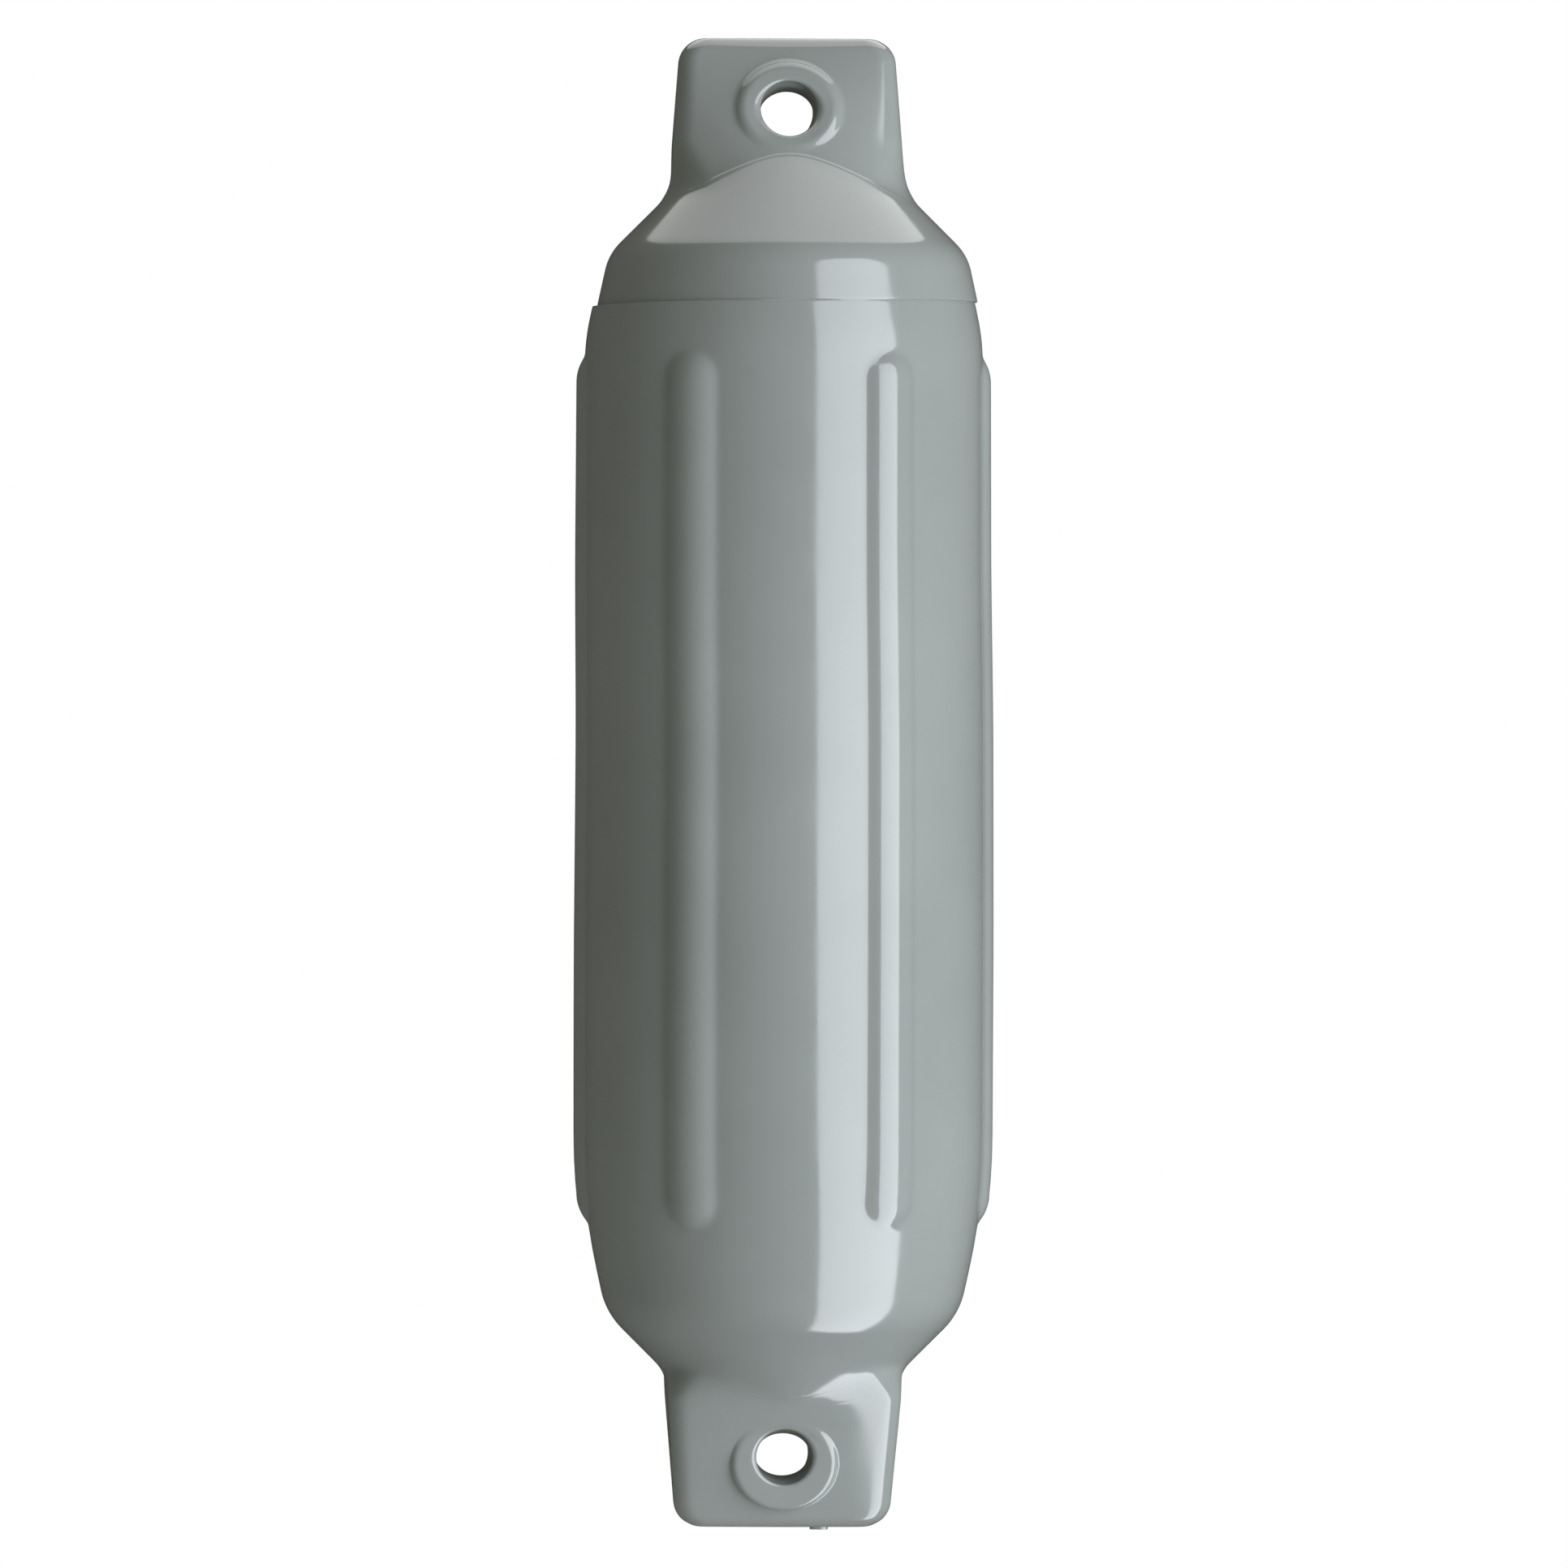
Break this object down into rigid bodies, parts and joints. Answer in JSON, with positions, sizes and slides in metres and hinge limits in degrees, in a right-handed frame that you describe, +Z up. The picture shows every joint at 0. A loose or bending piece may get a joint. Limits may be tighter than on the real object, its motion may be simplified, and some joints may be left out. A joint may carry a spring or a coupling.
{
  "type": "boat fender",
  "caption": "Ribbed inflatable vinyl boat fender with a flattened lug and a rope eye at each end and a screw-closed valve behind the upper shoulder.",
  "frame": {"origin": "centre of the upper rope eye, midway through the lug", "axes": "+Z up along the fender's length, +Y along the axis of the eyes, from the front face to the back face"},
  "size_m": [0.1368, 0.1312, 0.4839],
  "materials": {
    "grey_vinyl": "glossy moulded vinyl",
    "valve_plastic": "satin moulded plastic"
  },
  "bodies": {
    "root": {"fender_body": "grey_vinyl", "valve_seat": "valve_plastic", "valve_screw": "valve_plastic"}
  },
  "joints": []
}
